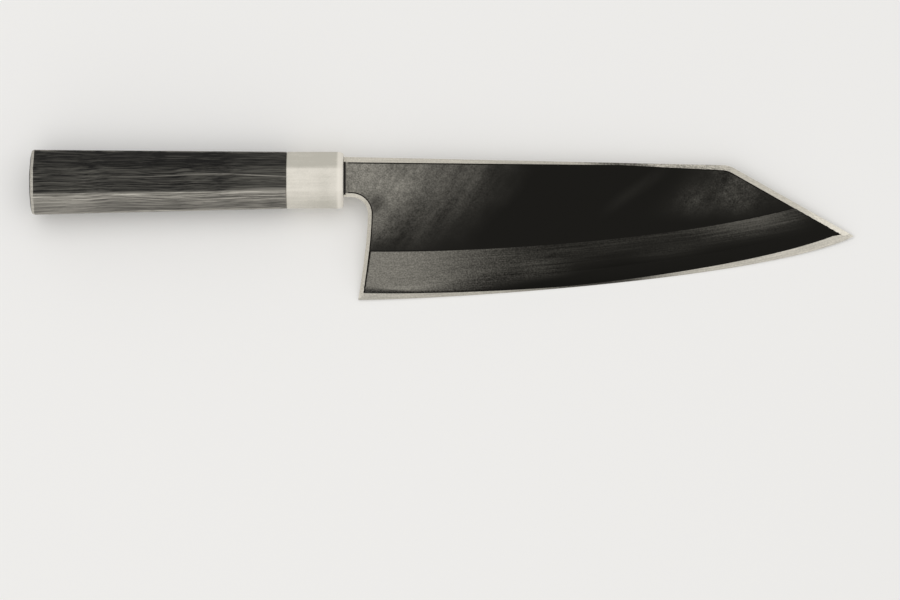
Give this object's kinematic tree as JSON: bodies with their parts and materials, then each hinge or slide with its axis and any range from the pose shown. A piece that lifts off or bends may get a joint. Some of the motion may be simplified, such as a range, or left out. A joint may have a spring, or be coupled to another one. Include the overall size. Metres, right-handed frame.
{
  "type": "deba knife",
  "caption": "Heavy single-bevel kitchen knife with an angled tip, laminated blade, hollow-ground back, hidden tang, pale ferrule and octagonal dark wood handle.",
  "frame": {"origin": "middle of the surface that the knife lies on, under the centre of its bounding box", "axes": "+X from the butt to the tip, +Y from the cutting edge to the spine, +Z out of the bevelled front face"},
  "size_m": [0.3502, 0.0636, 0.025],
  "materials": {
    "soft_iron": "dark hazy forged iron with bright ground chamfers",
    "edge_steel": "hard steel, stone-polished at the edge",
    "seal_resin": "dark resin, satin",
    "pale_horn": "polished pale horn",
    "dark_wood": "close-grained dark hardwood, oiled",
    "pale_wood": "raw pale wood, hidden"
  },
  "bodies": {
    "root": {"iron_blade_body": "soft_iron", "steel_edge_plate": "edge_steel", "neck_seal": "seal_resin", "ferrule": "pale_horn", "handle_body": "dark_wood", "tang_dowel": "pale_wood"}
  },
  "joints": []
}
